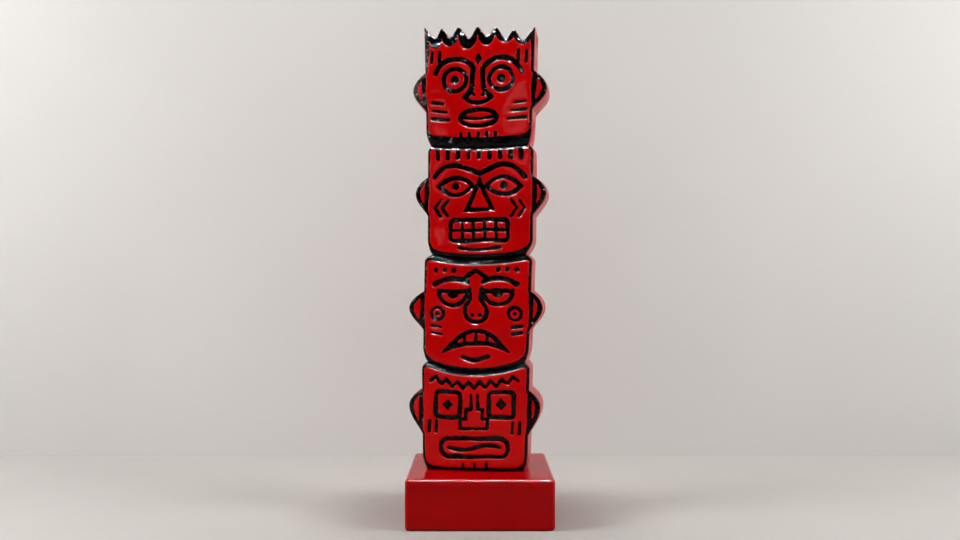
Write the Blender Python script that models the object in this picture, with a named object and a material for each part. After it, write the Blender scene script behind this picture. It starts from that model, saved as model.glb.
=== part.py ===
"""A totem sculpture: four slab heads carved as one stack with a spiked crown, on a square plinth.

Lengths are in millimetres and become metres where a mesh is made. The stack is drawn flat first, on axes of
its own: u runs across it to the viewer's right, z up from its foot, and v back through its thickness. It is
then set on the plinth, whose front faces -Y, and turned a little.
"""

import math
from collections import namedtuple

import bmesh
import bpy
from mathutils import Vector
from mathutils.geometry import delaunay_2d_cdt

MM = 0.001

# The plinth.
PLINTH_SIDE = 300
PLINTH_HEIGHT = 103
PLINTH_CORNER_RADIUS = 7
PLINTH_EDGE_RADIUS = 5
BEVEL_STEPS = 3

# How the stack stands on it.
REST_GAP = 0.3
STACK_TURN = math.radians(7.2)
STACK_FORWARD = 12

# The slab: half the usual width of a head, the height of the four heads without the spikes, and the depth.
# Its front bows forward in the middle, and its back is flat.
STACK_HALF = PLINTH_SIDE * 0.376
STACK_HEIGHT = 898.7
SLAB_DEPTH = 118
FRONT_BOW = 10
BOW_REACH = STACK_HALF * 0.93
EDGE_CHAMFER = 4

# The carving: raised fields stand over a lower ground. A rim is the ground left between the slab's edge and
# a field.
FIELD_HEIGHT = 5
LINE = 10
BOLD_LINE = LINE * 1.15
FINE_LINE = LINE * 0.75
RIM = EDGE_CHAMFER + 3
EAR_RIM = RIM + 5
EAR_LINE_OUT = 1
JAW_CORNER = 14
BROW_CORNER = 7
HAND_WANDER = 0.8
FRONT_NOTCH = 8
BACK_FIELD_HEIGHT = 2.5
BACK_NOTCH = 5

# The rolled corners of each head, where it meets the next.
JAW_ROLL = 34
BROW_ROLL = 15
EAR_SOFTNESS = 0.5

# A head: its height as a share of the stack's, then in shares of STACK_HALF the middle and half width of its
# jaw and of its brow and how far its left and right ears stand out, then in shares of its own height the
# lowest, fullest and highest points of its ears. The first is the base of the stack.
HEAD_SIZES = "height jaw_middle jaw_half brow_middle brow_half ear_left ear_right ear_low ear_full ear_high"
Head = namedtuple("Head", HEAD_SIZES)
HEAD_SHARES = (
    Head(0.2506, -0.053, 0.98, -0.04, 1.015, 0.263, 0.213, 0.324, 0.586, 0.745),
    Head(0.2504, -0.044, 0.993, 0.013, 1.011, 0.292, 0.222, 0.296, 0.5, 0.66),
    Head(0.2531, 0.045, 0.985, 0.056, 0.991, 0.24, 0.235, 0.355, 0.563, 0.715),
    Head(0.2459, 0.02, 0.981, 0.038, 1.036, 0.248, 0.248, 0.33, 0.53, 0.7),
)

# A joint is the crease under a head, all in shares of STACK_HALF: how far it sags in the middle, its middle
# and half width, and how much ground shows over it, on the chin, and under it, on the brow of the head below.
Joint = namedtuple("Joint", "sag middle half chin brow")
JOINT_SHARES = (
    Joint(0, -0.044, 0.904, 0.071, 0.071),
    Joint(0.177, -0.035, 0.918, 0.08, 0.08),
    Joint(0.089, 0.018, 0.878, 0.089, 0.115),
    Joint(0.062, 0.035, 0.913, 0.195, 0.053),
)


def sized(shares):
    """A head in millimetres."""
    height = shares.height * STACK_HEIGHT
    across = [share * STACK_HALF for share in shares[1:7]]
    ears = [share * height for share in shares[7:]]
    return Head(height, *across, *ears)


HEADS = tuple(sized(shares) for shares in HEAD_SHARES)
JOINTS = tuple(Joint(*(share * STACK_HALF for share in shares)) for shares in JOINT_SHARES)
FEET = tuple(sum(head.height for head in HEADS[:index]) for index in range(len(HEADS) + 1))

# The crown, from right to left. Each tip and valley has its place in shares of the brow's half width, its
# height in shares of the highest spike, and its rim in shares of the usual one.
SPIKE_HEIGHT = 29
SPIKE_TIPS = (
    (1, 0.8, 1.3),
    (0.62, 0.66, 1.3),
    (0.3, 0.81, 1.4),
    (-0.03, 0.87, 1.55),
    (-0.37, 0.88, 2),
    (-0.68, 0.86, 2.1),
    (-1.01, 1, 1.9),
)
SPIKE_VALLEYS = (
    (0.77, -0.12, 1.1),
    (0.48, -0.02, 0.9),
    (0.14, 0.2, 2.3),
    (-0.17, 0.06, 2.3),
    (-0.52, 0.17, 2),
    (-0.79, 0.18, 2.3),
)

# The faces are drawn on a grid of this many columns each way and rows, which is stretched over each head.
GRID_COLUMNS = 113
GRID_ROWS = 225

# How finely curves are drawn: steps along a curve, or how far a chord may stand off its arc.
EAR_STEPS = 12
ROLL_STEPS = 3
EDGE_STEPS = 8
CORNER_STEPS = 3
LEAF_STEPS = 8
CHORD_SAG = 0.4


def clear_scene():
    for thing in list(bpy.data.objects):
        bpy.data.objects.remove(thing, do_unlink=True)


def lacquer(name, colour, roughness):
    material = bpy.data.materials.new(name)
    material.use_nodes = True
    shader = material.node_tree.nodes["Principled BSDF"]
    shader.inputs["Base Color"].default_value = (*colour, 1)
    shader.inputs["Roughness"].default_value = roughness
    shader.inputs["Metallic"].default_value = 0
    return material


# Plane curves, as lists of points.


def path(*pairs):
    return [Vector(pair) for pair in pairs]


def mirrored(points):
    return [Vector((-point.x, point.y)) for point in reversed(points)]


def arc(middle_u, middle_z, radius_u, radius_z, start, end):
    """Part of an ellipse, between two angles in degrees from its right end."""
    step = 2 * math.degrees(math.acos(1 - CHORD_SAG / max(radius_u, radius_z)))
    steps = math.ceil(abs(end - start) / step)
    turns = (math.radians(start + (end - start) * k / steps) for k in range(steps + 1))
    return [Vector((middle_u + radius_u * math.cos(a), middle_z + radius_z * math.sin(a))) for a in turns]


def ring(middle_u, middle_z, radius):
    return arc(middle_u, middle_z, radius, radius, 0, 360)[:-1]


def leaf(middle_u, end_z, half_width, upper, lower):
    """A closed shape of two shallow arcs that meet in points: how far each arc rises over those points."""
    spread = [1 - 2 * k / LEAF_STEPS for k in range(LEAF_STEPS + 1)]
    top = [Vector((middle_u + half_width * s, end_z + upper * (1 - s * s))) for s in spread]
    bottom = [Vector((middle_u + half_width * s, end_z + lower * (1 - s * s))) for s in spread]
    return top + bottom[-2:0:-1]


def box(middle_u, middle_z, half_width, half_height, corner):
    """A rectangle with round corners."""
    points = []
    for sign_u, sign_z, start in ((1, 1, 0), (-1, 1, 90), (-1, -1, 180), (1, -1, 270)):
        u = middle_u + sign_u * (half_width - corner)
        z = middle_z + sign_z * (half_height - corner)
        points += arc(u, z, corner, corner, start, start + 90)
    return points


def shifted(points, distances, closed):
    """The path moved to its own left by one distance for each point, with mitred corners."""
    count = len(points)
    moved = []
    for i, point in enumerate(points):
        before = points[i - 1] if closed or i > 0 else 2 * point - points[1]
        after = points[(i + 1) % count] if closed or i < count - 1 else 2 * point - points[-2]
        into, out = (point - before).normalized(), (after - point).normalized()
        left = Vector((-into.y - out.y, into.x + out.x)).normalized()
        moved.append(point + left * distances[i] / left.dot(Vector((-out.y, out.x))))
    return moved


def rounded(corners):
    """A closed loop from (point, radius) pairs, with each radius as a curve between its neighbours."""
    loop = []
    for i, (point, radius) in enumerate(corners):
        before = corners[i - 1][0] - point
        after = corners[(i + 1) % len(corners)][0] - point
        start = point + before.normalized() * min(radius, before.length / 2)
        end = point + after.normalized() * min(radius, after.length / 2)
        shares = [k / CORNER_STEPS for k in range(CORNER_STEPS + 1)] if radius else [0]
        loop += [start * (1 - s) ** 2 + point * 2 * s * (1 - s) + end * s * s for s in shares]
    return loop


# The outline of the stack.


def crease(index, u):
    """The height of the crease under a head, at one place across it."""
    joint = JOINTS[index]
    return FEET[index] - joint.sag * (1 - ((u - joint.middle) / joint.half) ** 2)


def side_of_head(index, side):
    """One side of a head from its foot up, as (point, rim) pairs. side is 1 on the right, -1 on the left."""
    head, joint, foot, top = HEADS[index], JOINTS[index], FEET[index], FEET[index + 1]
    reach = head.ear_right if side > 0 else head.ear_left

    def plain(z):
        share = (z - foot) / head.height
        middle = head.jaw_middle + (head.brow_middle - head.jaw_middle) * share
        return middle + side * (head.jaw_half + (head.brow_half - head.jaw_half) * share)

    points = []
    notch_u = joint.middle + side * joint.half
    for k in range(ROLL_STEPS + 1):
        share = k / ROLL_STEPS
        z = foot + JAW_ROLL * share
        points.append((Vector((plain(z) + (notch_u - plain(foot)) * (1 - share) ** 2, z)), RIM))
    for k in range(EAR_STEPS + 1):
        s = 2 * k / EAR_STEPS - 1
        flank = head.ear_high - head.ear_full if s > 0 else head.ear_full - head.ear_low
        z = foot + head.ear_full + s * flank
        bulge = (1 - s * s) * (1 if s > 0 else 1 - EAR_SOFTNESS * s * s)
        points.append((Vector((plain(z) + side * reach * bulge, z)), RIM + (EAR_RIM - RIM) * bulge))
    if index + 1 < len(HEADS):
        above = JOINTS[index + 1]
        notch_u = above.middle + side * above.half
        for k in range(ROLL_STEPS, 0, -1):
            share = k / ROLL_STEPS
            z = top - BROW_ROLL * share
            points.append((Vector((plain(z) + (notch_u - plain(top)) * (1 - share) ** 2, z)), RIM))
    return points


def crown():
    """The spikes from right to left, as (point, rim) pairs."""
    head = HEADS[-1]
    spots = [spot for pair in zip(SPIKE_TIPS, SPIKE_VALLEYS) for spot in pair] + [SPIKE_TIPS[-1]]
    points = []
    for place, height, rim in spots:
        u = head.brow_middle + head.brow_half * place
        points.append((Vector((u, FEET[-1] + SPIKE_HEIGHT * height)), RIM * rim))
    return points


class Outline:
    """The slab's edge as one loop, anticlockwise from the front, and where each head's sides lie in it."""

    def __init__(self):
        stretch = []
        self.right, self.left = [], []
        for index in range(len(HEADS)):
            side = side_of_head(index, 1)
            self.right.append(range(len(stretch), len(stretch) + len(side)))
            stretch += side
        self.crown = range(len(stretch), len(stretch) + len(crown()))
        stretch += crown()
        for index in reversed(range(len(HEADS))):
            side = side_of_head(index, -1)[::-1]
            self.left.insert(0, range(len(stretch), len(stretch) + len(side)))
            stretch += side
        start, end = stretch[-1][0], stretch[0][0]
        stretch += [(start.lerp(end, k / EDGE_STEPS), RIM) for k in range(1, EDGE_STEPS)]
        self.points = [point for point, _ in stretch]
        self.rims = [rim for _, rim in stretch]


def crossing(points, edge):
    """Where a climbing path passes an edge: the place in its list, and the point."""
    for i in range(1, len(points)):
        below = points[i - 1].y - edge(points[i - 1].x)
        above = points[i].y - edge(points[i].x)
        if below < 0 <= above:
            return i, points[i - 1].lerp(points[i], -below / (above - below))
    return len(points), points[-1]


def along(start, end, edge):
    """Points of an edge between two of its points, without them."""
    spread = (start.x + (end.x - start.x) * k / EDGE_STEPS for k in range(1, EDGE_STEPS))
    return [(Vector((u, edge(u))), 0) for u in spread]


def fields(outline):
    """The raised field of each head, ears included, as anticlockwise loops inside the rim."""
    inner = shifted(outline.points, outline.rims, closed=True)
    loops = []
    for index in range(len(HEADS)):

        def low(u, index=index):
            return crease(index, u) + JOINTS[index].chin

        right = [inner[i] for i in outline.right[index]]
        left = [inner[i] for i in reversed(outline.left[index])]
        right_from, right_foot = crossing(right, low)
        left_from, left_foot = crossing(left, low)
        corners = [(left_foot, JAW_CORNER), *along(left_foot, right_foot, low), (right_foot, JAW_CORNER)]
        right = [p for p in right[right_from:] if (p - right_foot).length > JAW_CORNER]
        left = [p for p in left[left_from:] if (p - left_foot).length > JAW_CORNER]
        if index == len(HEADS) - 1:
            corners += [(p, 0) for p in right + [inner[i] for i in outline.crown] + left[::-1]]
            loops.append(rounded(corners))
            continue

        def high(u, above=index + 1):
            return crease(above, u) - JOINTS[above].brow

        right_to, right_brow = crossing(right, high)
        left_to, left_brow = crossing(left, high)
        corners += [(p, 0) for p in right[:right_to] if (p - right_brow).length > BROW_CORNER]
        corners += [(right_brow, BROW_CORNER), *along(right_brow, left_brow, high), (left_brow, BROW_CORNER)]
        corners += [(p, 0) for p in reversed(left[:left_to]) if (p - left_brow).length > BROW_CORNER]
        loops.append(rounded(corners))
    return loops


# The carved lines of the faces.


def wander(point):
    """A cutter's hand drifts a little from the drawn line."""
    drift_u = math.sin(point.y / 23 + 1.3) + 0.6 * math.sin(point.y / 9.5 + point.x / 31)
    drift_z = math.sin(point.x / 27 + 0.4) + 0.6 * math.sin(point.x / 11 - point.y / 37)
    return point + HAND_WANDER * Vector((drift_u, drift_z))


class Carving:
    """The grooves of one face, drawn from the middle of the head's foot.

    Each groove is a pair of anticlockwise loops: its outer edge, and its inner edge or None.
    """

    def __init__(self, index):
        head = HEADS[index]
        self.origin = Vector(((head.jaw_middle + head.brow_middle) / 2, FEET[index]))
        self.stretch = Vector(((head.jaw_half + head.brow_half) / 2 / GRID_COLUMNS, head.height / GRID_ROWS))
        self.grooves = []

    def place(self, points):
        return [wander(self.origin + self.stretch * point) for point in points]

    def drawn(self, point):
        """A place on the stack, on the grid that this face is drawn on."""
        away = point - self.origin
        return Vector((away.x / self.stretch.x, away.y / self.stretch.y))

    def line(self, points, width=LINE):
        """An open stroke with round ends."""
        points = self.place(points)
        right = shifted(points, [-width / 2] * len(points), closed=False)
        left = shifted(points, [width / 2] * len(points), closed=False)
        loop = right + self.cap(points[-2], points[-1], width)
        loop += left[::-1] + self.cap(points[1], points[0], width)
        self.grooves.append((loop, None))

    @staticmethod
    def cap(before, end, width):
        ahead = (end - before).normalized() * width / 2
        side = Vector((ahead.y, -ahead.x))
        turns = (math.pi * k / 4 for k in (1, 2, 3))
        return [end + side * math.cos(turn) + ahead * math.sin(turn) for turn in turns]

    def loop(self, points, width=LINE):
        """A closed stroke, drawn anticlockwise, with the field left standing inside it."""
        points = self.place(points)
        outer = shifted(points, [-width / 2] * len(points), closed=True)
        inner = shifted(points, [width / 2] * len(points), closed=True)
        self.grooves.append((outer, inner))

    def hollow(self, points):
        """A shape cut out whole, drawn anticlockwise."""
        self.grooves.append((self.place(points), None))

    @staticmethod
    def both(draw, points, *width):
        """The same cut on both sides of the face."""
        draw(points, *width)
        draw(mirrored(points), *width)


def carve_base_face(face):
    """Square eyes, a stepped nose, a long mouth with a wave in it, and a zigzag across the brow."""
    face.both(face.loop, box(56, 138, 26, 26, 8))
    face.both(face.hollow, path((68, 138), (56, 151), (44, 138), (56, 125)))
    nose = path((-7, 158), (-7, 128), (-17, 128), (-17, 108), (-29, 108), (-29, 88))
    face.line(nose + mirrored(nose), FINE_LINE)
    face.loop(box(0, 49, 70, 19, 17))
    face.line([Vector((u, 49 + 4.5 * math.sin(u / 17))) for u in range(-54, 55, 9)], FINE_LINE)
    for u in (80, 95):
        face.both(face.line, path((u, 80), (u, 102)), FINE_LINE)
    for u in (-24, 0, 24):
        face.line(path((u, 11), (u, 15)), FINE_LINE)
    zigzag = []
    for k in range(-8, 9):
        u = 11.5 * k
        droop = 20 * (1 - (u / 104) ** 2)
        zigzag.append(Vector((u, 198 - droop + (6.5 if k % 2 else -6.5))))
    face.line(zigzag, FINE_LINE)


def carve_third_face(face):
    """Half-moon eyes under heavy lids, a bulb of a nose, a downturned mouth and a rosette on each cheek."""
    face.both(face.loop, arc(47, 148, 30, 28, 180, 360))
    face.both(face.hollow, arc(47, 147, 13, 14, 180, 360))
    face.both(face.line, path((16, 167), (30, 173), (47, 175), (66, 172), (86, 163)), BOLD_LINE)
    nose = path((-13, 152), (-11, 132), (-17, 122)) + arc(0, 106, 23, 22, 155, 270)
    face.line(nose + mirrored(nose)[1:])
    face.both(face.hollow, ring(8, 99, 4.5))
    face.loop(leaf(0, 30, 58, 36, 10))
    for u in (-24, 0, 24):
        face.line(path((u, 42), (u, 60)), FINE_LINE)
    face.line(path((-26, 12), (0, 5), (26, 12)))
    face.both(face.loop, ring(81, 102, 13), FINE_LINE)
    face.both(face.hollow, ring(81, 102, 4.5))
    for z in (76, 62):
        face.both(face.line, path((74, z - 2), (94, z)), FINE_LINE)
    face.line(path((-22, 176), (0, 191), (22, 176)))
    for u in (46, 65, 84):
        face.both(face.hollow, ring(u, 193, 6))


def carve_second_face(face):
    """Almond eyes under one gull-wing brow, a long triangle of a nose, a block of teeth and a fringe."""
    face.both(face.loop, leaf(50, 140, 36, 18, -18))
    face.both(face.hollow, ring(50, 140, 8.5))
    brow = path((96, 160), (77, 177), (50, 183), (22, 174), (0, 164))
    face.line(brow + mirrored(brow)[1:], BOLD_LINE)
    face.loop(path((0, 150), (-27, 91), (27, 91)))
    face.loop(box(0, 49, 61, 21, 9))
    for u in (-36, -12, 12, 36):
        face.line(path((u, 30), (u, 68)), FINE_LINE)
    face.line(path((-60, 49), (60, 49)), FINE_LINE)
    face.line(path((-42, 14), (0, 8), (42, 14)), FINE_LINE)
    for u in (70, 86):
        face.both(face.line, path((u - 3, 112), (u + 9, 96), (u - 3, 80)), FINE_LINE)
    for k in range(-4, 5):
        face.line(path((22 * k, 198), (22 * k, 221)), LINE)


def carve_top_face(face):
    """Round eyes, long brows that run into the nose, full lips, and bars on the cheeks, chin and temples."""
    face.both(face.loop, ring(48, 138, 24))
    face.both(face.hollow, ring(48, 138, 10))
    brow = arc(48, 138, 44, 44, 20, 150) + path((11, 138), (13, 117), (26, 99))
    face.both(face.line, brow, BOLD_LINE)
    face.line(path((-28, 99), (-14, 90), (0, 88), (14, 90), (28, 99)))
    face.both(face.hollow, ring(9, 105, 4.5))
    face.loop(arc(0, 56, 38, 17, 0, 360)[:-1])
    face.line(path((-30, 57), (0, 54), (30, 57)), FINE_LINE)
    for k in range(3):
        u, z = 62 + 6 * k, 54 + 17 * k
        face.both(face.line, path((u, z), (96, z + 3)), FINE_LINE)
    for u in (-36, -18, 0, 18, 36):
        face.line(path((u, 12), (u, 24)), FINE_LINE)
    for u in (82, 98):
        face.both(face.line, path((u, 176), (u, 198)), FINE_LINE)
    face.hollow(path((8, 180), (0, 193), (-8, 180), (0, 167)))


FACES = (carve_base_face, carve_third_face, carve_second_face, carve_top_face)


def carvings():
    """Every groove of the front: the four faces, and the line that parts each ear from its cheek."""
    grooves = []
    for index, carve in enumerate(FACES):
        face = Carving(index)
        carve(face)
        for side in (1, -1):
            points = [point for point, _ in side_of_head(index, side)]
            ends = (points[ROLL_STEPS + 1], points[ROLL_STEPS + EAR_STEPS + 1])
            face.line([face.drawn(end + Vector((side * EAR_LINE_OUT, 0))) for end in ends])
        grooves += face.grooves
    return grooves


# The solids.


def notch(u, z):
    """How deep in a joint a place is: 1 on the crease, 0 where the ground beside it ends."""
    deepest = 0
    for index, joint in enumerate(JOINTS[1:], 1):
        rise = z - crease(index, u)
        deepest = max(deepest, 1 - rise / joint.chin if rise > 0 else 1 + rise / joint.brow)
    return deepest


def front_surface(point, raised):
    lowered = 0 if raised else FIELD_HEIGHT
    bow = FRONT_BOW * (point.x / BOW_REACH) ** 2
    return -SLAB_DEPTH / 2 + bow + lowered + FRONT_NOTCH * notch(point.x, point.y)


def back_surface(point, raised):
    lowered = 0 if raised else BACK_FIELD_HEIGHT
    return SLAB_DEPTH / 2 - lowered - BACK_NOTCH * notch(point.x, point.y)


def crease_paths(outline, edge):
    """The crease of each joint, from the edge on the left to the edge on the right."""
    paths = []
    for index in range(1, len(JOINTS)):
        start = edge[outline.left[index][-1]]
        end = edge[outline.right[index][0]]
        middle = along(start, end, lambda u, index=index: crease(index, u))
        paths.append([start, *(point for point, _ in middle), end])
    return paths


def add_plate(mesh, outline, grooves, surface, inward):
    """One face of the slab with its fields and grooves. It returns the vertices on the slab's true edge.

    inward is 1 on the front and -1 on the back: the way from the face into the slab.
    """
    edge = shifted(outline.points, [EDGE_CHAMFER] * len(outline.points), closed=True)
    raised = fields(outline)
    loops = [edge, *raised]
    cuts = []
    for outer, inner in grooves:
        cuts.append((len(loops), len(loops) + 1 if inner else None))
        loops += [outer, inner] if inner else [outer]
    points, edges, faces = [], [], []
    for loop in loops:
        faces.append(list(range(len(points), len(points) + len(loop))))
        points += loop
    for crease_path in crease_paths(outline, edge):
        edges += [(i, i + 1) for i in range(len(points), len(points) + len(crease_path) - 1)]
        points += crease_path
    flat, _, triangles, sources, _, owners = delaunay_2d_cdt(points, edges, faces, 1, 1e-4)

    stands = []
    for triangle, owner in zip(triangles, owners):
        if 0 not in owner:
            continue
        cut = any(outer in owner and inner not in owner for outer, inner in cuts)
        field = any(k in owner for k in range(1, len(raised) + 1))
        stands.append((triangle, field and not cut))

    corners = {}

    def corner(i, up):
        if (i, up) not in corners:
            corners[i, up] = mesh.verts.new((flat[i].x, surface(flat[i], up), flat[i].y))
        return corners[i, up]

    rims = {}
    for triangle, up in stands:
        mesh.faces.new([corner(i, up) for i in triangle[::inward]]).material_index = 0 if up else 1
        for a, b in zip(triangle, [*triangle[1:], triangle[0]]):
            rims.setdefault(frozenset((a, b)), []).append((a, b, up))
    following = {}
    for sides in rims.values():
        a, b, up = sides[0]
        if len(sides) == 1:
            following[a] = b
        elif up != sides[1][2]:
            a, b = (a, b) if up else (b, a)
            wall = [corner(a, False), corner(b, False), corner(b, True), corner(a, True)]
            mesh.faces.new(wall[::inward]).material_index = 1

    found = {source: i for i, group in enumerate(sources) for source in group}
    ring_points = []
    for point in outline.points:
        v = surface(point, False) + inward * EDGE_CHAMFER
        ring_points.append(mesh.verts.new((point.x, v, point.y)))
    count = len(ring_points)
    for i in range(count):
        stretch = [found[i]]
        while stretch[-1] != found[(i + 1) % count]:
            stretch.append(following[stretch[-1]])
        bevel = [ring_points[i], ring_points[(i + 1) % count]]
        bevel += [corner(k, False) for k in reversed(stretch)]
        mesh.faces.new(bevel[::inward]).material_index = 1
    return ring_points


def make_body(red, black):
    outline = Outline()
    mesh = bmesh.new()
    front = add_plate(mesh, outline, carvings(), front_surface, 1)
    back = add_plate(mesh, outline, [], back_surface, -1)
    for i in range(len(front)):
        k = (i + 1) % len(front)
        mesh.faces.new((front[k], front[i], back[i], back[k]))
    bmesh.ops.recalc_face_normals(mesh, faces=mesh.faces)
    bmesh.ops.scale(mesh, vec=(MM, MM, MM), verts=mesh.verts)
    body = add_object("totem_body", mesh, (red, black))
    body.location = (0, -STACK_FORWARD * MM, (PLINTH_HEIGHT + REST_GAP) * MM)
    body.rotation_euler = (0, 0, -STACK_TURN)
    return body


def make_plinth(red):
    mesh = bmesh.new()
    bmesh.ops.create_cube(mesh, size=1)
    bmesh.ops.scale(mesh, vec=(PLINTH_SIDE * MM, PLINTH_SIDE * MM, PLINTH_HEIGHT * MM), verts=mesh.verts)
    upright = [edge for edge in mesh.edges if abs(edge.verts[0].co.z - edge.verts[1].co.z) > MM]
    bmesh.ops.bevel(mesh, geom=upright, offset=PLINTH_CORNER_RADIUS * MM, offset_type="OFFSET",
                    segments=BEVEL_STEPS, profile=0.5, affect="EDGES")
    level = [edge for edge in mesh.edges if abs(edge.verts[0].co.z - edge.verts[1].co.z) < MM]
    bmesh.ops.bevel(mesh, geom=level, offset=PLINTH_EDGE_RADIUS * MM, offset_type="OFFSET",
                    segments=BEVEL_STEPS, profile=0.5, affect="EDGES")
    plinth = add_object("plinth", mesh, (red,))
    plinth.location = (0, 0, PLINTH_HEIGHT / 2 * MM)
    return plinth


def add_object(name, mesh, materials):
    data = bpy.data.meshes.new(name)
    mesh.to_mesh(data)
    mesh.free()
    for material in materials:
        data.materials.append(material)
    made = bpy.data.objects.new(name, data)
    bpy.context.scene.collection.objects.link(made)
    return made


def main():
    clear_scene()
    red = lacquer("red_lacquer", (0.5, 0.004, 0.004), 0.12)
    black = lacquer("black_lacquer", (0.006, 0.006, 0.007), 0.2)
    make_plinth(red)
    make_body(red, black)


main()
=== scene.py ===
# %% [markdown]
# # A lacquered totem of four mask heads
# The object is a slab carved into four heads that stand on each other, with a spiked crown, on a plain
# plinth. Red fields stand over a black ground, and both are thick glossy lacquer. The packed model gives
# the true sizes and the plain solids. This lesson makes the fine surface that belongs on them, and starts
# by loading the model.

# %% Load the packed model
import math

import bmesh
import bpy
import numpy as np
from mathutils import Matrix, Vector
from mathutils.geometry import delaunay_2d_cdt


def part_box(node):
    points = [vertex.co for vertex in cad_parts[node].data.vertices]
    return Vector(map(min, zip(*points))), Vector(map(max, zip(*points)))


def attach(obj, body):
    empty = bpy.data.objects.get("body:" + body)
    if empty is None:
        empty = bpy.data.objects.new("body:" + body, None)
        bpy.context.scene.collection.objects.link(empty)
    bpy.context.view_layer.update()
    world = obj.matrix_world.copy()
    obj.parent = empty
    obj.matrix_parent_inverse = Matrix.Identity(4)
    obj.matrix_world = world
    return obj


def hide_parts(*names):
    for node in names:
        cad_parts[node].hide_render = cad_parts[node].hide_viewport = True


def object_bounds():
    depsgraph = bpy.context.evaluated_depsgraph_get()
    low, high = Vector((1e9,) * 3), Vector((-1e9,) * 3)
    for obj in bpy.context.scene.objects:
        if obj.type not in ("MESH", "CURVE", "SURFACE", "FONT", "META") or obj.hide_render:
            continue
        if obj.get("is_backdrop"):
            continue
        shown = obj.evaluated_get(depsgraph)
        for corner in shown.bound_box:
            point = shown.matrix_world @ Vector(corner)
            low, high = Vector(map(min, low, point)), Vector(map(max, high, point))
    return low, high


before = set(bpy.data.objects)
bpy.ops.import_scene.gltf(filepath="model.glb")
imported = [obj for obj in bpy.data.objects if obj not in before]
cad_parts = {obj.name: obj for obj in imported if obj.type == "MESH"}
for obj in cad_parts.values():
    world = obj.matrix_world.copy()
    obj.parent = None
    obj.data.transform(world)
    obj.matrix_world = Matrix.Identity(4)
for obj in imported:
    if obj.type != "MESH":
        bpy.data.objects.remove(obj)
cad_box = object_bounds()
print("the packed model reaches from", *(tuple(round(x, 3) for x in corner) for corner in cad_box))

# %% [markdown]
# ## Camera
# The camera stands two metres off, a little below the middle, and looks level. A level camera keeps upright
# edges upright. The small shift moves the picture up, as raising the lens on a view camera does, so nothing
# converges.

# %% Camera
EYE = Vector((0, -2.002, 0.4875))
LENS = 35
PICTURE_WIDTH = 960
SHIFT = 16 / PICTURE_WIDTH

bpy.ops.object.camera_add(location=EYE, rotation=(math.radians(90), 0, 0))
camera = bpy.context.object
camera.data.lens = LENS
camera.data.shift_y = SHIFT
bpy.context.scene.camera = camera
bpy.context.scene.view_settings.view_transform = "Standard"
print("camera at", tuple(camera.location))

# %% [markdown]
# ## Sizes of the stack
# The drawing is in millimetres: u runs across the stack, z up from its foot, and v back through it. A head
# is written in shares of the stack, so that every length follows the plinth's side and the stack's height,
# and these come from the packed model. The first head is the lowest.

# %% Sizes of the stack
MM = 0.001
plinth_low, plinth_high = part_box("plinth")
stack_low, stack_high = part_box("totem_body")
PLINTH_SIDE = (plinth_high.x - plinth_low.x) / MM
STACK_HALF = PLINTH_SIDE * 0.376
SPIKE_HEIGHT = 29
STACK_HEIGHT = (stack_high.z - stack_low.z) / MM - SPIKE_HEIGHT
SLAB_DEPTH = 118
STACK_TURN = math.radians(7.2)
STACK_FORWARD = 12
RIM = 7
EAR_RIM = RIM + 5

HEADS = [dict(zip(("height", "jaw_middle", "jaw_half", "brow_middle", "brow_half", "ear_left", "ear_right",
                   "ear_low", "ear_full", "ear_high"), shares)) for shares in (
    (0.2506, -0.053, 0.98, -0.04, 1.015, 0.263, 0.213, 0.324, 0.586, 0.745),
    (0.2504, -0.044, 0.993, 0.013, 1.011, 0.292, 0.222, 0.296, 0.5, 0.66),
    (0.2531, 0.045, 0.985, 0.056, 0.991, 0.24, 0.235, 0.355, 0.563, 0.715),
    (0.2459, 0.02, 0.981, 0.038, 1.036, 0.248, 0.248, 0.33, 0.53, 0.7))]
for head in HEADS:
    head["height"] *= STACK_HEIGHT
    for name in ("jaw_middle", "jaw_half", "brow_middle", "brow_half", "ear_left", "ear_right"):
        head[name] *= STACK_HALF
    for name in ("ear_low", "ear_full", "ear_high"):
        head[name] *= head["height"]
FEET = [sum(head["height"] for head in HEADS[:index]) for index in range(len(HEADS) + 1)]
print("the feet of the heads are at", [round(foot) for foot in FEET], "mm")

# %% [markdown]
# ## Joints and crown
# Under each head is a crease that sags in the middle. Black ground shows over it, on the chin, and under
# it, on the brow of the head below. The spikes of the crown stand on the top head, from right to left. Each
# tip and valley has its place, its height in shares of the highest spike, and a rim of its own.

# %% Joints and crown
JOINTS = [{name: share * STACK_HALF
           for name, share in zip(("sag", "middle", "half", "chin", "brow"), shares)}
          for shares in ((0, -0.044, 0.904, 0.071, 0.071), (0.177, -0.035, 0.918, 0.08, 0.08),
                         (0.089, 0.018, 0.878, 0.089, 0.115), (0.062, 0.035, 0.913, 0.195, 0.053))]
SPIKES = ((1, 0.8, 1.3), (0.77, -0.12, 1.1), (0.62, 0.66, 1.3), (0.48, -0.02, 0.9), (0.3, 0.81, 1.4),
          (0.14, 0.2, 2.3), (-0.03, 0.87, 1.55), (-0.17, 0.06, 2.3), (-0.37, 0.88, 2), (-0.52, 0.17, 2),
          (-0.68, 0.86, 2.1), (-0.79, 0.18, 2.3), (-1.01, 1, 1.9))


def crease(index, u):
    """The height of the crease under a head, at places across it."""
    joint = JOINTS[index]
    return FEET[index] - joint["sag"] * (1 - ((u - joint["middle"]) / joint["half"]) ** 2)


print("the creases sag", [round(joint["sag"]) for joint in JOINTS], "mm")

# %% [markdown]
# ## Drawing with complex numbers
# A point of the drawing is one complex number, u + zj. Moving is adding, turning is multiplying, and a
# whole path is one array. Closed paths run anticlockwise, so the way into a shape is always to the left.

# %% Paths
STROKE_STEP = 2.5
WIDEST_TURN = 20
LEAF_STEPS = 24
CORNER_STEPS = 8


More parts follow.
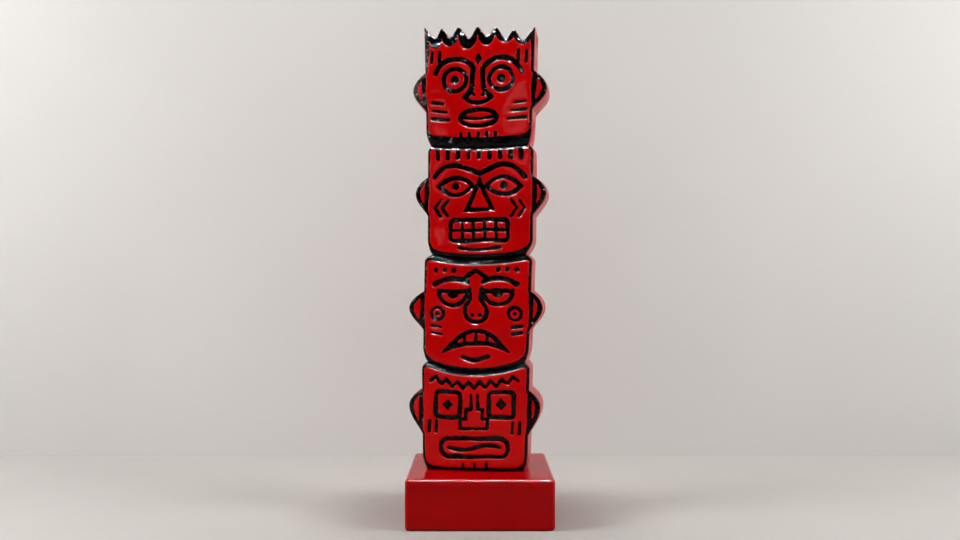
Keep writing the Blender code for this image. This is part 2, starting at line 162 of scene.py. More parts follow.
def path(*pairs):
    return np.array([u + 1j * z for u, z in pairs])


def mirrored(points):
    return -np.conj(points[::-1])


def arc(middle_u, middle_z, radius_u, radius_z, start, end):
    """Part of an ellipse, between two angles in degrees from its right end."""
    steps = max(math.ceil(abs(math.radians(end - start)) * max(radius_u, radius_z) / STROKE_STEP),
                math.ceil(abs(end - start) / WIDEST_TURN))
    turns = np.radians(np.linspace(start, end, steps + 1))
    return middle_u + radius_u * np.cos(turns) + 1j * (middle_z + radius_z * np.sin(turns))


def ring(middle_u, middle_z, radius):
    return arc(middle_u, middle_z, radius, radius, 0, 360)[:-1]


def leaf(middle_u, end_z, half_width, upper, lower):
    """A closed shape of two shallow arcs that meet in points."""
    across = np.linspace(1, -1, LEAF_STEPS + 1)
    top = middle_u + half_width * across + 1j * (end_z + upper * (1 - across ** 2))
    bottom = middle_u + half_width * across + 1j * (end_z + lower * (1 - across ** 2))
    return np.concatenate([top, bottom[-2:0:-1]])


def box(middle_u, middle_z, half_width, half_height, corner):
    """A rectangle with round corners."""
    corners = []
    for sign_u, sign_z, start in ((1, 1, 0), (-1, 1, 90), (-1, -1, 180), (1, -1, 270)):
        u = middle_u + sign_u * (half_width - corner)
        z = middle_z + sign_z * (half_height - corner)
        corners.append(arc(u, z, corner, corner, start, start + 90))
    return np.concatenate(corners)


def blunted(points, radii):
    """An open path with its corners cut to curves, of one radius for each point. Both ends are left out."""
    curve = []
    for before, point, after, radius in zip(points, points[1:], points[2:], radii[1:]):
        start = point + (before - point) * min(radius / abs(before - point), 0.5)
        end = point + (after - point) * min(radius / abs(after - point), 0.5)
        s = np.linspace(0, 1, CORNER_STEPS + 1)
        curve.append(start * (1 - s) ** 2 + point * 2 * s * (1 - s) + end * s ** 2)
    return np.concatenate(curve)


print("a ring of 24 mm has", len(ring(0, 0, 24)), "points")

# %% [markdown]
# ## A line that flows
# A stroke is drawn with few points. Between them it should run in one sweep, as a gouge does, and still
# turn a sharp corner where the drawing has one. A cubic between two points needs a direction at each: the
# way from the point before to the point after, or at a corner simply the way along the chord.

# %% Flowing and shifted paths
SHARP_TURN = math.radians(45)


def neighbours(points, closed):
    before, after = np.roll(points, 1), np.roll(points, -1)
    if not closed:
        before[0] = 2 * points[0] - points[1]
        after[-1] = 2 * points[-1] - points[-2]
    return before, after


def flowing(points, closed):
    """The path as smooth curves between its points, except where it turns sharply."""
    before, after = neighbours(points, closed)
    turn = abs(np.angle((after - points) / (points - before)))
    swept = (after - before) / abs(after - before)
    ends = list(range(len(points))) if closed else list(range(len(points) - 1))
    curves = []
    for i in ends:
        k = (i + 1) % len(points)
        chord = points[k] - points[i]
        leaving = chord if turn[i] > SHARP_TURN else swept[i] * abs(chord)
        arriving = chord if turn[k] > SHARP_TURN else swept[k] * abs(chord)
        t = np.arange(0, 1, 1 / math.ceil(abs(chord) / STROKE_STEP))
        curves.append(points[i] * (2 * t ** 3 - 3 * t ** 2 + 1) + leaving * (t ** 3 - 2 * t ** 2 + t)
                      + points[k] * (3 * t ** 2 - 2 * t ** 3) + arriving * (t ** 3 - t ** 2))
    return np.concatenate(curves if closed else curves + [points[-1:]])


def shifted(points, distances, closed=True):
    """The path moved to its own left by one distance for each point, with mitred corners."""
    before, after = neighbours(points, closed)
    into, out = (points - before) / abs(points - before), (after - points) / abs(after - points)
    left = 1j * (into + out) / abs(into + out)
    return points + left * distances / (left * np.conj(1j * out)).real


print("four points flow into", len(flowing(path((0, 0), (20, 8), (45, 8), (60, 0)), closed=False)))

# %% [markdown]
# ## The outline
# One side of a head rises from the notch under the jaw, rolls out to the cheek, swells into the ear and
# rolls in to the notch over the brow. Every point also carries its rim: how much black ground is left
# inside it. The rim is wider round an ear, which leaves the ear a small red island of its own.

# %% One side of a head
JAW_ROLL = 34
BROW_ROLL = 15
EAR_SOFTNESS = 0.5
ROLL_STEPS = 10
EAR_STEPS = 40


def side_of_head(index, side):
    """A head's side from its foot up: points, and a rim for each. side is 1 on the right, -1 on the left."""
    head, foot, top = HEADS[index], FEET[index], FEET[index + 1]
    reach = head["ear_right"] if side > 0 else head["ear_left"]

    def plain(z):
        share = (z - foot) / head["height"]
        middle = head["jaw_middle"] + (head["brow_middle"] - head["jaw_middle"]) * share
        return middle + side * (head["jaw_half"] + (head["brow_half"] - head["jaw_half"]) * share)

    def rolled(joint, share, z, corner):
        notch = JOINTS[joint]["middle"] + side * JOINTS[joint]["half"]
        return plain(z) + (notch - plain(corner)) * (1 - share) ** 2 + 1j * z

    share = np.linspace(0, 1, ROLL_STEPS + 1)
    s = np.linspace(-1, 1, EAR_STEPS + 1)
    flank = np.where(s > 0, head["ear_high"] - head["ear_full"], head["ear_full"] - head["ear_low"])
    z = foot + head["ear_full"] + s * flank
    bulge = (1 - s * s) * np.where(s > 0, 1, 1 - EAR_SOFTNESS * s * s)
    parts = [rolled(index, share, foot + JAW_ROLL * share, foot), plain(z) + side * reach * bulge + 1j * z]
    if index + 1 < len(HEADS):
        parts.append(rolled(index + 1, share[:0:-1], top - BROW_ROLL * share[:0:-1], top))
    rims = [np.full(len(part), float(RIM)) for part in parts]
    rims[1] += (EAR_RIM - RIM) * bulge
    return np.concatenate(parts), np.concatenate(rims)


def crown():
    """The spikes from right to left, as sharp points, with their rims."""
    share, height, rim = np.array(SPIKES).T
    u = HEADS[-1]["brow_middle"] + HEADS[-1]["brow_half"] * share
    return u + 1j * (FEET[-1] + SPIKE_HEIGHT * height), RIM * rim


print("a side of the top head has", len(side_of_head(3, 1)[0]), "points")

# %% [markdown]
# The outline joins the right sides from the base up, the crown, and the left sides down again. The same
# walk moved inwards by its rims gives the edge of the red fields. The slab's spikes are blunt, so they
# start a little longer. The red ones are tongues with sharp tips, and between two of them lies a scoop,
# steep at its sides and round at the bottom, like half an ellipse.

# %% The whole outline
BLUNT_RADIUS = 10
CORNER_RADIUS = 7
BLUNT_RISE = 3.9
SCOOP_STEPS = 24

RIGHT = [side_of_head(index, 1) for index in range(len(HEADS))]
LEFT = [side_of_head(index, -1) for index in range(len(HEADS))]
sharp = [*RIGHT, crown(), *((points[::-1], rims[::-1]) for points, rims in reversed(LEFT))]
walk = np.concatenate([points for points, _ in sharp])
field_edge = shifted(walk, np.concatenate([rims for _, rims in sharp]))
pieces = np.split(field_edge, np.cumsum([len(points) for points, _ in sharp])[:-1])


def scoop(tip, valley, next_tip):
    """Half an ellipse that hangs between two tips, down to the valley. The second tip is left out."""
    turn = np.linspace(0, np.pi, SCOOP_STEPS, endpoint=False)
    chord = tip + (next_tip - tip) * (1 - np.cos(turn)) / 2
    return chord - 1j * ((tip + next_tip).imag / 2 - valley.imag) * np.sin(turn)


tips, valleys = pieces[len(HEADS)][::2], pieces[len(HEADS)][1::2]
red_crown = np.concatenate([*map(scoop, tips, valleys, tips[1:]), tips[-1:]])
is_tip = np.arange(len(SPIKES)) % 2 == 0
long_spikes = crown()[0] + 1j * BLUNT_RISE * np.where(is_tip, 1, -1)
between_sides = np.concatenate([RIGHT[-1][0][-1:], long_spikes, LEFT[-1][0][-1:]])
radii = np.full(len(between_sides), BLUNT_RADIUS)
radii[[1, -2]] = CORNER_RADIUS
blunt_crown = blunted(between_sides, radii)
outline = np.concatenate([*(points for points, _ in RIGHT), blunt_crown,
                          *(points[::-1] for points, _ in reversed(LEFT))])
print("the outline has", len(outline), "points, and is", round(outline.imag.max(), 1), "mm high")

# %% [markdown]
# ## A map of distances
# The relief needs one number everywhere: how far a place is from the nearest edge of a field, positive
# inside the red and negative on the black ground. With that number a profile can round a shoulder by the
# same amount along every line, whatever its shape. The map is an array over a fine grid. Distances add up
# simply: the smaller of two distances is the distance in the overlap of two shapes.

# %% The grid and distances on it
GRID_STEP = 0.8
REACH = 16.0
MARGIN = 3

U = np.arange(outline.real.min() - MARGIN, outline.real.max() + MARGIN, GRID_STEP)
Z = np.arange(outline.imag.min() - MARGIN, outline.imag.max() + MARGIN, GRID_STEP)
GRID = U + 1j * Z[:, None]


def near(a, b):
    """The part of the grid within reach of a short line."""
    low, high = min(a.real, b.real) - REACH, max(a.real, b.real) + REACH
    bottom, top = min(a.imag, b.imag) - REACH, max(a.imag, b.imag) + REACH
    return slice(*np.searchsorted(Z, (bottom, top))), slice(*np.searchsorted(U, (low, high)))


def away_from(points, closed):
    """How far each place of the grid is from a path, up to REACH."""
    distance = np.full(GRID.shape, REACH)
    for a, b in zip(points, np.roll(points, -1) if closed else points[1:]):
        part = near(a, b)
        along = np.clip(((GRID[part] - a) * np.conj(b - a)).real / abs(b - a) ** 2, 0, 1)
        distance[part] = np.minimum(distance[part], abs(GRID[part] - a - along * (b - a)))
    return distance


def inside(points):
    """Which places lie in a closed path: those with an odd number of its edges to their right."""
    mask = np.zeros(GRID.shape, bool)
    for a, b in zip(points, np.roll(points, -1)):
        low, high = (a, b) if a.imag < b.imag else (b, a)
        rows = slice(*np.searchsorted(Z, (low.imag, high.imag)))
        if rows.start < rows.stop:
            edge = low.real + (Z[rows] - low.imag) * (high.real - low.real) / (high.imag - low.imag)
            mask[rows] ^= U < edge[:, None]
    return mask


def depth_in(points):
    """The distance to a closed path, positive inside it."""
    distance = away_from(points, closed=True)
    return np.where(inside(points), distance, -distance)


slab = depth_in(outline)
print("the map has", GRID.size, "places, of which", int((slab > 0).sum()), "lie in the slab")

# %% [markdown]
# ## The fields
# Each head has one field, inside its rim and between the ground of its two joints. Where two edges meet,
# the corner is round: near it the distance is taken to a circle instead of to either edge.

# %% The field of each head
JAW_CORNER = 14
BROW_CORNER = 7
FAR_BELOW = 40


def overlap(first, second, corner):
    """The distance inside two shapes at once, with a round corner where their edges cross."""
    both = np.maximum(np.minimum(first, second), corner)
    return both - np.hypot(np.maximum(corner - first, 0), np.maximum(corner - second, 0))


def field_of(index):
    right, left = pieces[index], pieces[-1 - index]
    top = red_crown if index + 1 == len(HEADS) else []
    below = [left[-1] - 1j * FAR_BELOW, right[0] - 1j * FAR_BELOW]
    field = depth_in(np.concatenate([right, top, left, below]))
    field = overlap(field, GRID.imag - crease(index, GRID.real) - JOINTS[index]["chin"], JAW_CORNER)
    if index + 1 < len(HEADS):
        over = crease(index + 1, GRID.real) - JOINTS[index + 1]["brow"] - GRID.imag
        field = overlap(field, over, BROW_CORNER)
    return field


panels = np.max([field_of(index) for index in range(len(HEADS))], axis=0)
print("the panels cover", round(float((panels > 0).sum() / (slab > 0).sum()), 2), "of the front")

# %% [markdown]
# ## Grooves
# A groove is everything within half its width of a stroke. Each face is drawn on a grid of 113 columns each
# way and 225 rows, stretched over its own head, and a slow wander of under a millimetre keeps the lines
# from looking ruled.

# %% Cutting a groove
LINE = 10
BOLD_LINE = LINE * 1.15
FINE_LINE = LINE * 0.75
HAND_WANDER = 0.8
COLUMNS = 113
ROWS = 225
EAR_LINE_OUT = 1


def wander(points):
    """A cutter's hand drifts a little from the drawn line."""
    u, z = points.real, points.imag
    drift_u = np.sin(z / 23 + 1.3) + 0.6 * np.sin(z / 9.5 + u / 31)
    drift_z = np.sin(u / 27 + 0.4) + 0.6 * np.sin(u / 11 - z / 37)
    return points + HAND_WANDER * (drift_u + 1j * drift_z)


class Face:
    """One head's carving. clear is how far each place is outside every groove cut so far."""

    def __init__(self, index):
        head = HEADS[index]
        self.origin = (head["jaw_middle"] + head["brow_middle"]) / 2 + 1j * FEET[index]
        self.across = (head["jaw_half"] + head["brow_half"]) / 2 / COLUMNS
        self.up = head["height"] / ROWS
        self.clear = np.full(GRID.shape, REACH)

    def place(self, points, closed):
        drawn = flowing(points, closed)
        return wander(self.origin + self.across * drawn.real + 1j * self.up * drawn.imag)

    def cut(self, clear):
        self.clear = np.minimum(self.clear, clear)

    def line(self, points, width=LINE):
        """An open stroke with round ends."""
        self.cut(away_from(self.place(points, closed=False), closed=False) - width / 2)

    def loop(self, points, width=LINE):
        """A closed stroke that leaves the field standing inside it, with pointed outer corners."""
        points = self.place(points, closed=True)
        outer = -depth_in(shifted(points, -width / 2))
        self.cut(np.where(inside(points), away_from(points, closed=True) - width / 2, outer))

    def hollow(self, points):
        """A shape cut out whole."""
        self.cut(-depth_in(self.place(points, closed=True)))

    def both(self, cut, points, *width):
        """The same cut on both sides of the face."""
        cut(points, *width)
        cut(mirrored(points), *width)


print("a fine line is", FINE_LINE, "mm wide and a bold one", BOLD_LINE)

# %% [markdown]
# ## Four faces
# They are plain mask faces made for this part, each with motifs of its own. The base head has square eyes,
# a stepped nose and a zigzag brow.

# %% The base face


def carve_base_face(face):
    face.both(face.loop, box(56, 138, 26, 26, 8))
    face.both(face.hollow, path((68, 138), (56, 151), (44, 138), (56, 125)))
    nose = path((-7, 158), (-7, 128), (-17, 128), (-17, 108), (-29, 108), (-29, 88))
    face.line(np.concatenate([nose, mirrored(nose)]), FINE_LINE)
    face.loop(box(0, 49, 70, 19, 17))
    across = np.arange(-54, 55, 9)
    face.line(across + 1j * (49 + 4.5 * np.sin(across / 17)), FINE_LINE)
    for u in (80, 95):
        face.both(face.line, path((u, 80), (u, 102)), FINE_LINE)
    for u in (-24, 0, 24):
        face.line(path((u, 11), (u, 15)), FINE_LINE)
    steps = np.arange(-8, 9)
    droop = 20 * (1 - (11.5 * steps / 104) ** 2)
    face.line(11.5 * steps + 1j * (198 - droop + np.where(steps % 2, 6.5, -6.5)), FINE_LINE)


print("the base head is", round(HEADS[0]["height"]), "mm high")

# %% [markdown]
# The third head has heavy lids, a bulb of a nose, a mouth that turns down and a rosette on each cheek.

# %% The third face


def carve_third_face(face):
    face.both(face.loop, arc(47, 148, 30, 28, 180, 360))
    face.both(face.hollow, arc(47, 147, 13, 14, 180, 360))
    face.both(face.line, path((16, 167), (30, 173), (47, 175), (66, 172), (86, 163)), BOLD_LINE)
    nose = np.concatenate([path((-13, 152), (-11, 132), (-17, 122)), arc(0, 106, 23, 22, 155, 270)])
    face.line(np.concatenate([nose, mirrored(nose)[1:]]))
    face.both(face.hollow, ring(8, 99, 4.5))
    face.loop(leaf(0, 30, 58, 36, 10))
    for u in (-24, 0, 24):
        face.line(path((u, 42), (u, 60)), FINE_LINE)
    face.line(path((-26, 12), (0, 5), (26, 12)))
    face.both(face.loop, ring(81, 102, 13), FINE_LINE)
    face.both(face.hollow, ring(81, 102, 4.5))
    for z in (76, 62):
        face.both(face.line, path((74, z - 2), (94, z)), FINE_LINE)
    face.line(path((-22, 176), (0, 191), (22, 176)))
    for u in (46, 65, 84):
        face.both(face.hollow, ring(u, 193, 6))


print("the lids are", BOLD_LINE, "mm wide")

# %% [markdown]
# The second head has almond eyes under one gull-wing brow, a long triangle of a nose, a block of teeth and
# a fringe.

# %% The second face


def carve_second_face(face):
    face.both(face.loop, leaf(50, 140, 36, 18, -18))
    face.both(face.hollow, ring(50, 140, 8.5))
    brow = path((96, 160), (77, 177), (50, 183), (22, 174), (0, 164))
    face.line(np.concatenate([brow, mirrored(brow)[1:]]), BOLD_LINE)
    face.loop(path((0, 150), (-27, 91), (27, 91)))
    face.loop(box(0, 49, 61, 21, 9))
    for u in (-36, -12, 12, 36):
        face.line(path((u, 30), (u, 68)), FINE_LINE)
    face.line(path((-60, 49), (60, 49)), FINE_LINE)
    face.line(path((-42, 14), (0, 8), (42, 14)), FINE_LINE)
    for u in (70, 86):
        face.both(face.line, path((u - 3, 112), (u + 9, 96), (u - 3, 80)), FINE_LINE)
    for k in range(-4, 5):
        face.line(path((22 * k, 198), (22 * k, 221)))


print("the strokes of the fringe are", LINE, "mm wide")

# %% [markdown]
# The top head has round eyes, brows that run into the nose, full lips, and bars on the cheeks, chin and
# temples.

# %% The top face


def carve_top_face(face):
    face.both(face.loop, ring(48, 138, 24))
    face.both(face.hollow, ring(48, 138, 10))
    brow = np.concatenate([arc(48, 138, 44, 44, 20, 150), path((11, 138), (13, 117), (26, 99))])
    face.both(face.line, brow, BOLD_LINE)
    face.line(path((-28, 99), (-14, 90), (0, 88), (14, 90), (28, 99)))
    face.both(face.hollow, ring(9, 105, 4.5))
    face.loop(arc(0, 56, 38, 17, 0, 360)[:-1])
    face.line(path((-30, 57), (0, 54), (30, 57)), FINE_LINE)
    for k in range(3):
        u, z = 62 + 6 * k, 54 + 17 * k
        face.both(face.line, path((u, z), (96, z + 3)), FINE_LINE)
    for u in (-36, -18, 0, 18, 36):
        face.line(path((u, 12), (u, 24)), FINE_LINE)
    for u in (82, 98):
        face.both(face.line, path((u, 176), (u, 198)), FINE_LINE)
    face.hollow(path((8, 180), (0, 193), (-8, 180), (0, 167)))


FACES = (carve_base_face, carve_third_face, carve_second_face, carve_top_face)
print("the faces are", [carve.__name__ for carve in FACES])

# %% [markdown]
# ## The carved map
# Every face is cut, and one more groove parts each ear from its cheek. A hand-cut edge is never quite even,
# so a ripple of a third of a millimetre runs along all edges, and a slow swell makes the strokes broader
# and finer.

# %% Cut the faces
EDGE_RIPPLE = 0.35
STROKE_SWELL = 0.6
WAVES = 7
USUAL_SUM = 2.6


def ripple(points, length, seed):
    """A gentle landscape of waves about one length long, between -1 and 1 for the most part."""
    chance = np.random.default_rng(seed)
    lengths = length * chance.uniform(0.7, 1.5, WAVES)
    waves = 2 * np.pi / lengths * np.exp(2j * np.pi * chance.random(WAVES))
    starts = chance.uniform(0, 2 * np.pi, WAVES)
    heights = sum(np.sin((points * np.conj(wave)).real + start) for wave, start in zip(waves, starts))
    return heights / USUAL_SUM


clear = np.full(GRID.shape, REACH)
for index, carve in enumerate(FACES):
    face = Face(index)
    carve(face)
    clear = np.minimum(clear, face.clear)
    for side, (points, _) in ((1, RIGHT[index]), (-1, LEFT[index])):
        ends = points[[ROLL_STEPS + 1, ROLL_STEPS + EAR_STEPS + 1]] + side * EAR_LINE_OUT
        clear = np.minimum(clear, away_from(wander(np.linspace(*ends, EAR_STEPS)), closed=False) - LINE / 2)
edge_ripple = EDGE_RIPPLE * ripple(GRID, length=11, seed=1)
uneven = edge_ripple + STROKE_SWELL * ripple(GRID, length=48, seed=7)
front_field = np.minimum(panels + edge_ripple, clear + uneven)
back_field = panels + EDGE_RIPPLE * ripple(GRID, length=13, seed=2)
print("red covers", round(float((front_field > 0).sum() / (slab > 0).sum()), 2), "of the front")

# %% [markdown]
# ## From map to mesh
# A sculptor's relief has crisp edges, and a plain grid of squares would make them jagged. So the mesh
# follows the map's own contour lines, as on a hiking map: one at the foot of the groove wall, one where the
# paint changes, and a few over the shoulder. Marching squares finds where a contour crosses each side of
# each grid square.

# %% Contours
CONTOUR_STEP = 1.8
FEWEST_POINTS = 6


def crossings(field, level):
    """The points where a contour crosses the grid's lines, and the pairs that one square joins."""
    over = field > level
    across, up = over[:, 1:] != over[:, :-1], over[1:] != over[:-1]
    j, i = np.nonzero(across)
    share = (level - field[j, i]) / (field[j, i + 1] - field[j, i])
    points = [GRID[j, i] + share * GRID_STEP]
    j, i = np.nonzero(up)
    share = (level - field[j, i]) / (field[j + 1, i] - field[j, i])
    points.append(GRID[j, i] + 1j * share * GRID_STEP)
    name_across, name_up = np.full(across.shape, -1), np.full(up.shape, -1)
    name_across[across] = np.arange(across.sum())
    name_up[up] = across.sum() + np.arange(up.sum())
    square = np.stack([name_across[:-1], name_up[:, :-1], name_across[1:], name_up[:, 1:]], axis=-1)
    square = square.reshape(-1, 4)
    count = (square >= 0).sum(axis=1)
    pairs = np.sort(square[count == 2], axis=1)[:, 2:]
    double = square[count == 4]
    return np.concatenate(points), np.concatenate([pairs, double[:, :2], double[:, 2:]])


def contours(field, level):
    """The closed contour lines of a level, evenly spaced along their length."""
    points, pairs = crossings(field, level)
    joined = [[] for _ in points]
    for a, b in pairs.tolist():
        joined[a].append(b)
        joined[b].append(a)
    lines, seen = [], set()
    for start in range(len(points)):
        line = []
        here = start
        while here is not None and here not in seen:
            seen.add(here)
            line.append(here)
            here = next((k for k in joined[here] if k not in seen), None)
        if len(line) >= FEWEST_POINTS:
            lines.append(evened(points[line]))
    return lines


def evened(line):
    """A closed line, smoothed a little and divided into equal steps."""
    for _ in range(2):
        line = (np.roll(line, 1) + 2 * line + np.roll(line, -1)) / 4
    lengths = np.cumsum(abs(np.diff(np.append(line, line[0]))))
    steps = max(FEWEST_POINTS, round(lengths[-1] / CONTOUR_STEP))
    places = np.linspace(0, lengths[-1], steps, endpoint=False)
    return np.interp(places, np.append(0, lengths), np.append(line, line[0]))


print("the paint changes along", len(contours(front_field, 0)), "closed lines")

# %% [markdown]
# ## Profiles
# Two profiles give the depth behind the front. Over a field's edge, the wall drops steeply into the groove,
# and its shoulder is a quarter of an ellipse, which catches a thin line of light. At the slab's edge the
# surface rolls back on an ellipse that is deeper than wide, so the side wall begins gently. The front also
# bows forward in the middle and dips into each joint.

# %% Profiles
WALL_FOOT = -1.3
WALL_TOP = -0.1
SHOULDER = 2.8
SHOULDER_SHARE = 0.28
EDGE_RADIUS = 3
EDGE_FALL = 6
FRONT_BOW = 10
BOW_REACH = STACK_HALF * 0.93
GROUND_LUMPS = 0.35
FIELD_SWELL = 0.3


def sunken(field, depth):
    """How deep the surface lies for a distance to a field's edge."""
    top = depth * SHOULDER_SHARE
    over = np.clip((SHOULDER - field) / (SHOULDER - WALL_TOP), 0, 1)
    shoulder = top * (1 - np.sqrt(1 - over ** 2))
    wall = top + (depth - top) * np.clip((WALL_TOP - field) / (WALL_TOP - WALL_FOOT), 0, 1)
    return np.where(field > WALL_TOP, shoulder, wall)


def rolled_back(inwards):
    """How far the surface has rolled back at a distance inwards from the slab's edge."""
    rise = 1 - np.clip(inwards, 0, EDGE_RADIUS) / EDGE_RADIUS
    return EDGE_FALL * (1 - np.sqrt(1 - rise ** 2))


def notch(points):
    """How deep in a joint a place is: 1 on the crease, 0 where its ground ends, as two cushions meet."""
    deepest = np.zeros(len(points))
    for index in range(1, len(JOINTS)):
        rise = points.imag - crease(index, points.real)
        share = 1 - np.where(rise > 0, rise / JOINTS[index]["chin"], -rise / JOINTS[index]["brow"])
        deepest = np.maximum(deepest, share)
    return 1 - np.sqrt(1 - np.minimum(deepest, 1) ** 2)


print("a wall", round(WALL_TOP - WALL_FOOT, 1), "mm wide drops", float(sunken(np.array(-2), 5)), "mm")

# %% [markdown]
# ## One face of the slab
# The contour lines, the creases and a loose scatter of points between them go into one triangulation,
# which joins them into well shaped triangles and keeps every line as an edge. Points on a
# contour get exactly the depth of their level, so shoulders stay smooth.

# %% Triangles between the contours
FIELD_LEVELS = (WALL_FOOT, WALL_TOP, 0.5, 1.4, SHOULDER)
EDGE_LEVELS = (0.1, 0.4, 0.9, 1.7, EDGE_RADIUS)
FIELD_SPACING = 7
GROUND_SPACING = 3.2
ROW_RATIO = 0.87
EDGE_STEP = 2.6


def sampled(values, points):
    """A map's value at any places, between its grid points."""
    i = np.clip((points.real - U[0]) / GRID_STEP, 0, len(U) - 1.001)
    j = np.clip((points.imag - Z[0]) / GRID_STEP, 0, len(Z) - 1.001)
    i0, j0 = i.astype(int), j.astype(int)
    s, t = i - i0, j - j0
    return ((values[j0, i0] * (1 - s) + values[j0, i0 + 1] * s) * (1 - t)
            + (values[j0 + 1, i0] * (1 - s) + values[j0 + 1, i0 + 1] * s) * t)


def scatter(spacing, keep):
    """Points in staggered rows, where the maps say so."""
    u, z = np.meshgrid(np.arange(U[0], U[-1], spacing), np.arange(Z[0], Z[-1], spacing * ROW_RATIO))
    u[1::2] += spacing / 2
    points = (u + 1j * z).ravel()
    return points[keep(points)]


def divided(points, step):
    """A closed path with no step longer than a given one."""
    stretches = []
    for a, b in zip(points, np.roll(points, -1)):
        stretches.append(a + (b - a) * np.arange(0, 1, 1 / math.ceil(abs(b - a) / step)))
    return np.concatenate(stretches)


edge_ring = divided(outline, EDGE_STEP)
print("the slab's edge is drawn with", len(edge_ring), "points")

# %% [markdown]
# The triangulation takes plain lists and gives back where each point went, so the level of a contour can be
# looked up afterwards. Only triangles inside the slab's edge are kept.

# %% Build one face
CREASE_POINTS = 70
FIELD_GAP = 2
GROUND_GAP = 1.2
EDGE_GAP = 6
INSIDE_ONLY = 1
WELD_DISTANCE = 1e-3


def layout(field):
    """The points and lines of one face: points, whether they close, and their level if they have one."""
    lines = [(edge_ring, True, None)]
    for level in FIELD_LEVELS:
        lines += [(line, True, level) for line in contours(field, level)]
    for level in EDGE_LEVELS:
        lines += [(line, True, None) for line in contours(slab, level)]
    for index in range(1, len(JOINTS)):
        middle, half = JOINTS[index]["middle"], JOINTS[index]["half"]
        u = np.linspace(middle - half, middle + half, CREASE_POINTS)[1:-1]
        lines.append((u + 1j * crease(index, u), False, None))
    plateau = scatter(FIELD_SPACING, lambda p: sampled(field, p) > SHOULDER + FIELD_GAP)
    ground = scatter(GROUND_SPACING, lambda p: (sampled(field, p) < WALL_FOOT - GROUND_GAP)
                     & (sampled(slab, p) > EDGE_GAP))
    return lines + [(np.concatenate([plateau, ground]), None, None)]


def triangulated(lines):
    """The points and triangles inside the edge ring, and the level of each point or not a number."""
    points, edges, levels = [], [], []
    for line, closed, level in lines:
        first = len(points)
        points += line.tolist()
        levels += [np.nan if level is None else level] * len(line)
        if closed is not None:
            edges += [(first + k, first + k + 1) for k in range(len(line) - 1)]
        if closed:
            edges.append((len(points) - 1, first))
    flat = [Vector((point.real, point.imag)) for point in points]
    rim = [list(range(len(edge_ring)))]
    made, _, triangles, sources, _, _ = delaunay_2d_cdt(flat, edges, rim, INSIDE_ONLY, WELD_DISTANCE)
    places = np.array([point.x + 1j * point.y for point in made])
    level = np.full(len(places), np.nan)
    for k, source in enumerate(sources):
        known = [levels[i] for i in source if not math.isnan(levels[i])]
        level[k] = known[0] if known else math.nan
    ring_at = np.zeros(len(edge_ring), int)
    for k, source in enumerate(sources):
        for i in source:
            if i < len(edge_ring):
                ring_at[i] = k
    return places, np.array(triangles), level, ring_at


print("the points of a contour lie", CONTOUR_STEP, "mm apart")

# %% [markdown]
# The back is carved more plainly: only the fields and their black joints, and less deep. It uses the same
# steps with its own depths.

# %% Front and back surfaces
FIELD_DEPTH = 5
BACK_FIELD_DEPTH = 2.5
FRONT_NOTCH = 8
BACK_NOTCH = 5
LUMPS_FADE = 2


def surface(field, depth, notch_depth, seed):
    """One face: places, triangles, depths, distances to the paint's edge and the slab's, and edge ring."""
    places, triangles, level, ring_at = triangulated(layout(field))
    distance = np.where(np.isnan(level), sampled(field, places), level)
    inwards = sampled(slab, places)
    inwards[ring_at] = 0
    on_ground = np.clip((WALL_FOOT - distance) / LUMPS_FADE, 0, 1)
    lumps = GROUND_LUMPS * ripple(places, length=9, seed=seed) * on_ground
    swell = FIELD_SWELL * ripple(places, length=70, seed=seed + 1)
    deep = sunken(distance, depth) + notch_depth * notch(places) + rolled_back(inwards) + lumps + swell
    return places, triangles, deep, distance, inwards, ring_at


front = surface(front_field, FIELD_DEPTH, FRONT_NOTCH, 3)
back = surface(back_field, BACK_FIELD_DEPTH, BACK_NOTCH, 5)
print("the front has", len(front[1]), "triangles and the back", len(back[1]))

# %% [markdown]
# ## Closing the slab
# The two faces share the same edge, so the side wall is a set of rings between them, closest together where
# the edge rounds, and the wall swells a little in its middle. Red paint covers the fields, the side wall
# and the outer part of the rounded edge. Black covers the grooves and the rim. The paint goes on by
# triangle, and contours make its edges clean. The side was polished less than the fields. In a closed mesh
# every edge joins two faces. At the sharpest corners a smoothed contour crosses the slab's edge, and there a
# face and the wall miss each other, mostly by half a millimetre and by 1.8 mm at the most. The last line
# counts these edges.

# %% The carved stack
WALL_SHARES = (0.03, 0.12, 0.3, 0.5, 0.7, 0.88, 0.97)
PAINTED_EDGE = 0.9
FIELD_SLACK = 0.05
EDGE_SLACK = 0.1
SIDE_BULGE = 2.2
SHARP_ANGLE = math.radians(50)
# The side slot takes the side lacquer, whose darker red is painted shade on the walls.
RED, BLACK, SHADED_SIDE_RED = 0, 1, 2


def paint(face):
    _, triangles, _, distance, inwards, _ = face
    red = distance[triangles].min(axis=1) > WALL_TOP - FIELD_SLACK
    rolled = inwards[triangles].max(axis=1) < PAINTED_EDGE + EDGE_SLACK
    return np.where(rolled, SHADED_SIDE_RED, np.where(red, RED, BLACK))


def in_space(u, v, z):
    """Points of the stack turned on the plinth and set down on it, in metres."""
    turned = (u + 1j * v) * np.exp(-1j * STACK_TURN)
    return np.stack([turned.real, turned.imag - STACK_FORWARD, z + stack_low.z / MM], axis=-1) * MM


bow = FRONT_BOW * (front[0].real / BOW_REACH) ** 2
front_v = -SLAB_DEPTH / 2 + bow + front[2]
back_v = SLAB_DEPTH / 2 - back[2]
start, end = front_v[front[5]], back_v[back[5]]
walls = []
under_crown = np.clip((FEET[-1] - edge_ring.imag) / SPIKE_HEIGHT, 0, 1)
for share in WALL_SHARES:
    ring_now = shifted(edge_ring, -SIDE_BULGE * 4 * share * (1 - share) * under_crown)
    walls.append(in_space(ring_now.real, start + (end - start) * share, ring_now.imag))
points = np.concatenate([in_space(front[0].real, front_v, front[0].imag),
                         in_space(back[0].real, back_v, back[0].imag), *walls])

